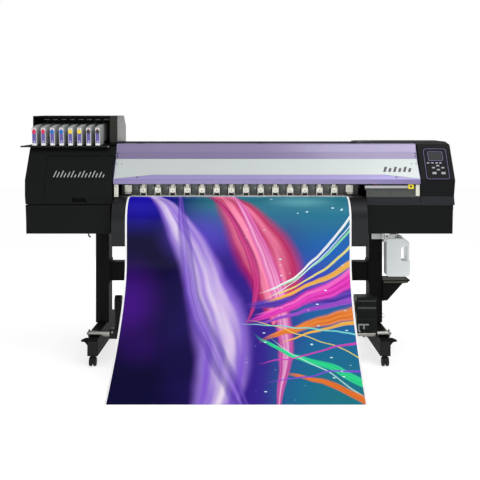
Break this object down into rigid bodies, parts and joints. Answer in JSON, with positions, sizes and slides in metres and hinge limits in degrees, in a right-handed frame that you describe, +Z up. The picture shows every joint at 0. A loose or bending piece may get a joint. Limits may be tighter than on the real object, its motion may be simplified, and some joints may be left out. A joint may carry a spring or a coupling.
{
  "type": "wide-format roll inkjet printer with cross cutter",
  "caption": "Roll-to-roll wide-format inkjet printer with cross cutter on a wheeled stand, with a printed sheet hanging from its front guide to the floor.",
  "frame": {"origin": "middle of the bounding box, on the floor", "axes": "+X to the machine's right as seen from its front, +Y to its back, +Z up"},
  "size_m": [2.5485, 1.3915, 1.48],
  "materials": {
    "stand": "black powder coat",
    "steel_plate": "plated steel sheet",
    "platen_metal": "satin dark grey",
    "guide_metal": "satin grey",
    "cover_black": "fine grained black",
    "cover_grey": "fine grained charcoal",
    "roof_black": "satin black",
    "bay_plastic": "fine grained black",
    "rail_steel": "anodised",
    "panel_plastic": "satin black",
    "white_metal": "white paint",
    "pipe_metal": "polished",
    "drive_plastic": "satin black",
    "media": "printed semi-gloss film",
    "inner_plastic": "satin dark grey",
    "violet": "metallic violet",
    "silver": "metallic silver",
    "cutter_red": "red moulding",
    "roller_steel": "ground",
    "cream": "cream moulding",
    "roller_rubber": "matt",
    "core_board": "kraft tube",
    "media_roll": "white film roll",
    "bottle": "translucent white",
    "cartridge_body": "grey moulding",
    "caster_black": "black nylon",
    "wheel_rubber": "black tread",
    "key_grey": "grey key caps"
  },
  "bodies": {
    "frame": {"left_leg": "stand", "right_leg": "stand", "stand_beam": "stand", "chassis": "steel_plate", "platen": "platen_metal", "front_guide": "guide_metal", "left_casing": "cover_black", "right_casing": "cover_grey", "left_skirt": "cover_black", "right_skirt": "cover_black", "roof": "roof_black", "rear_cover": "cover_black", "ink_bay": "bay_plastic", "guide_rail": "rail_steel", "control_panel": "panel_plastic", "tool_tray": "stand", "bottle_bracket": "white_metal", "take_up_frame": "pipe_metal", "take_up_drive": "drive_plastic", "supply_brackets": "stand", "media_web": "media", "capping_station": "inner_plastic"},
    "front_cover": {"cover_frame": "violet", "cover_panel": "silver"},
    "left_door": {"left_door": "cover_black"},
    "carriage": {"carriage": "inner_plastic"},
    "cutter": {"cutter": "cutter_red"},
    "feed_roller": {"feed_roller": "roller_steel"},
    "pinch_arms": {"pinch_arms": "cream"},
    "pinch_rollers": {"pinch_rollers": "roller_rubber"},
    "clamp_lever": {"clamp_lever": "inner_plastic"},
    "take_up_core": {"take_up_core": "core_board"},
    "supply_roll": {"supply_roll": "media_roll"},
    "waste_bottle": {"waste_bottle": "bottle"},
    "cartridge_1": {"cartridge_1": "cartridge_body"},
    "cartridge_2": {"cartridge_2": "cartridge_body"},
    "cartridge_3": {"cartridge_3": "cartridge_body"},
    "cartridge_4": {"cartridge_4": "cartridge_body"},
    "cartridge_5": {"cartridge_5": "cartridge_body"},
    "cartridge_6": {"cartridge_6": "cartridge_body"},
    "cartridge_7": {"cartridge_7": "cartridge_body"},
    "cartridge_8": {"cartridge_8": "cartridge_body"},
    "caster_fork_front_left": {"caster_fork_front_left": "caster_black"},
    "caster_wheels_front_left": {"caster_wheels_front_left": "wheel_rubber"},
    "caster_fork_front_right": {"caster_fork_front_right": "caster_black"},
    "caster_wheels_front_right": {"caster_wheels_front_right": "wheel_rubber"},
    "caster_fork_rear_left": {"caster_fork_rear_left": "caster_black"},
    "caster_wheels_rear_left": {"caster_wheels_rear_left": "wheel_rubber"},
    "caster_fork_rear_right": {"caster_fork_rear_right": "caster_black"},
    "caster_wheels_rear_right": {"caster_wheels_rear_right": "wheel_rubber"},
    "function_key_1": {"function_key_1": "key_grey"},
    "function_key_2": {"function_key_2": "key_grey"},
    "function_key_3": {"function_key_3": "key_grey"},
    "function_key_4": {"function_key_4": "key_grey"},
    "arrow_key_left": {"arrow_key_left": "key_grey"},
    "arrow_key_up": {"arrow_key_up": "key_grey"},
    "arrow_key_down": {"arrow_key_down": "key_grey"},
    "arrow_key_right": {"arrow_key_right": "key_grey"},
    "end_key": {"end_key": "key_grey"},
    "enter_key": {"enter_key": "key_grey"}
  },
  "joints": [
    {"name": "front_cover_hinge", "type": "hinge", "parent": "frame", "child": "front_cover", "pos_m": [0.02325, 0.10276, 1.302], "axis": [-1, 0, 0], "range_deg": [0, 62]},
    {"name": "left_door_hinge", "type": "hinge", "parent": "frame", "child": "left_door", "pos_m": [-0.91475, 0.02956, 1.2235], "axis": [-1, 0, 0], "range_deg": [0, 65]},
    {"name": "carriage_slide", "type": "slide", "parent": "frame", "child": "carriage", "axis": [-1, 0, 0], "range_m": [0, 1.5]},
    {"name": "cutter_drop", "type": "slide", "parent": "carriage", "child": "cutter", "axis": [0, 0, -1], "range_m": [0, 0.008], "stiffness_N_per_m": 400, "springref_m": -0.005},
    {"name": "feed_roller_spin", "type": "hinge", "parent": "frame", "child": "feed_roller", "pos_m": [0.02325, 0.12576, 0.97], "axis": [1, 0, 0], "continuous": true},
    {"name": "clamp_lever_hinge", "type": "hinge", "parent": "frame", "child": "clamp_lever", "pos_m": [0.02325, 0.32576, 1.045], "axis": [1, 0, 0], "range_deg": [0, 10]},
    {"name": "pinch_lift", "type": "hinge", "parent": "frame", "child": "pinch_arms", "pos_m": [0.02325, 0.32576, 1.045], "axis": [-1, 0, 0], "range_deg": [0, 1.5]},
    {"name": "pinch_spin", "type": "hinge", "parent": "pinch_arms", "child": "pinch_rollers", "pos_m": [0.02325, 0.12576, 0.9949], "axis": [1, 0, 0], "continuous": true},
    {"name": "take_up_spin", "type": "hinge", "parent": "frame", "child": "take_up_core", "pos_m": [0.02325, 0.04076, 0.33], "axis": [1, 0, 0], "continuous": true},
    {"name": "supply_spin", "type": "hinge", "parent": "frame", "child": "supply_roll", "pos_m": [0.02325, 0.60576, 0.64], "axis": [1, 0, 0], "continuous": true},
    {"name": "bottle_slide", "type": "slide", "parent": "frame", "child": "waste_bottle", "axis": [0, -1, 0], "range_m": [0, 0.15]},
    {"name": "cartridge_1_slide", "type": "slide", "parent": "frame", "child": "cartridge_1", "axis": [0, -0.993, -0.1184], "range_m": [0, 0.15]},
    {"name": "cartridge_2_slide", "type": "slide", "parent": "frame", "child": "cartridge_2", "axis": [0, -0.993, -0.1184], "range_m": [0, 0.15]},
    {"name": "cartridge_3_slide", "type": "slide", "parent": "frame", "child": "cartridge_3", "axis": [0, -0.993, -0.1184], "range_m": [0, 0.15]},
    {"name": "cartridge_4_slide", "type": "slide", "parent": "frame", "child": "cartridge_4", "axis": [0, -0.993, -0.1184], "range_m": [0, 0.15]},
    {"name": "cartridge_5_slide", "type": "slide", "parent": "frame", "child": "cartridge_5", "axis": [0, -0.993, -0.1184], "range_m": [0, 0.15]},
    {"name": "cartridge_6_slide", "type": "slide", "parent": "frame", "child": "cartridge_6", "axis": [0, -0.993, -0.1184], "range_m": [0, 0.15]},
    {"name": "cartridge_7_slide", "type": "slide", "parent": "frame", "child": "cartridge_7", "axis": [0, -0.993, -0.1184], "range_m": [0, 0.15]},
    {"name": "cartridge_8_slide", "type": "slide", "parent": "frame", "child": "cartridge_8", "axis": [0, -0.993, -0.1184], "range_m": [0, 0.15]},
    {"name": "swivel_front_left", "type": "hinge", "parent": "frame", "child": "caster_fork_front_left", "pos_m": [-0.83475, -0.01224, 0.058], "axis": [0, 0, 1], "continuous": true},
    {"name": "wheel_spin_front_left", "type": "hinge", "parent": "caster_fork_front_left", "child": "caster_wheels_front_left", "pos_m": [-0.83475, -0.02824, 0.027], "axis": [1, 0, 0], "continuous": true},
    {"name": "swivel_front_right", "type": "hinge", "parent": "frame", "child": "caster_fork_front_right", "pos_m": [0.86925, -0.01224, 0.058], "axis": [0, 0, 1], "continuous": true},
    {"name": "wheel_spin_front_right", "type": "hinge", "parent": "caster_fork_front_right", "child": "caster_wheels_front_right", "pos_m": [0.86925, -0.02824, 0.027], "axis": [1, 0, 0], "continuous": true},
    {"name": "swivel_rear_left", "type": "hinge", "parent": "frame", "child": "caster_fork_rear_left", "pos_m": [-0.83475, 0.62376, 0.058], "axis": [0, 0, 1], "continuous": true},
    {"name": "wheel_spin_rear_left", "type": "hinge", "parent": "caster_fork_rear_left", "child": "caster_wheels_rear_left", "pos_m": [-0.83475, 0.63976, 0.027], "axis": [1, 0, 0], "continuous": true},
    {"name": "swivel_rear_right", "type": "hinge", "parent": "frame", "child": "caster_fork_rear_right", "pos_m": [0.86925, 0.62376, 0.058], "axis": [0, 0, 1], "continuous": true},
    {"name": "wheel_spin_rear_right", "type": "hinge", "parent": "caster_fork_rear_right", "child": "caster_wheels_rear_right", "pos_m": [0.86925, 0.63976, 0.027], "axis": [1, 0, 0], "continuous": true},
    {"name": "function_key_1_press", "type": "slide", "parent": "frame", "child": "function_key_1", "axis": [0, 0.8682, -0.4961], "range_m": [0, 0.001], "stiffness_N_per_m": 300, "springref_m": -0.001},
    {"name": "function_key_2_press", "type": "slide", "parent": "frame", "child": "function_key_2", "axis": [0, 0.8682, -0.4961], "range_m": [0, 0.001], "stiffness_N_per_m": 300, "springref_m": -0.001},
    {"name": "function_key_3_press", "type": "slide", "parent": "frame", "child": "function_key_3", "axis": [0, 0.8682, -0.4961], "range_m": [0, 0.001], "stiffness_N_per_m": 300, "springref_m": -0.001},
    {"name": "function_key_4_press", "type": "slide", "parent": "frame", "child": "function_key_4", "axis": [0, 0.8682, -0.4961], "range_m": [0, 0.001], "stiffness_N_per_m": 300, "springref_m": -0.001},
    {"name": "arrow_key_left_press", "type": "slide", "parent": "frame", "child": "arrow_key_left", "axis": [0, 0.8682, -0.4961], "range_m": [0, 0.001], "stiffness_N_per_m": 300, "springref_m": -0.001},
    {"name": "arrow_key_up_press", "type": "slide", "parent": "frame", "child": "arrow_key_up", "axis": [0, 0.8682, -0.4961], "range_m": [0, 0.001], "stiffness_N_per_m": 300, "springref_m": -0.001},
    {"name": "arrow_key_down_press", "type": "slide", "parent": "frame", "child": "arrow_key_down", "axis": [0, 0.8682, -0.4961], "range_m": [0, 0.001], "stiffness_N_per_m": 300, "springref_m": -0.001},
    {"name": "arrow_key_right_press", "type": "slide", "parent": "frame", "child": "arrow_key_right", "axis": [0, 0.8682, -0.4961], "range_m": [0, 0.001], "stiffness_N_per_m": 300, "springref_m": -0.001},
    {"name": "end_key_press", "type": "slide", "parent": "frame", "child": "end_key", "axis": [0, 0.8682, -0.4961], "range_m": [0, 0.001], "stiffness_N_per_m": 300, "springref_m": -0.001},
    {"name": "enter_key_press", "type": "slide", "parent": "frame", "child": "enter_key", "axis": [0, 0.8682, -0.4961], "range_m": [0, 0.001], "stiffness_N_per_m": 300, "springref_m": -0.001}
  ],
  "couplings": [
    {"joint": "pinch_lift", "follows": "clamp_lever_hinge", "ratio": 0.15},
    {"joint": "pinch_spin", "follows": "feed_roller_spin", "ratio": -1.8625}
  ]
}
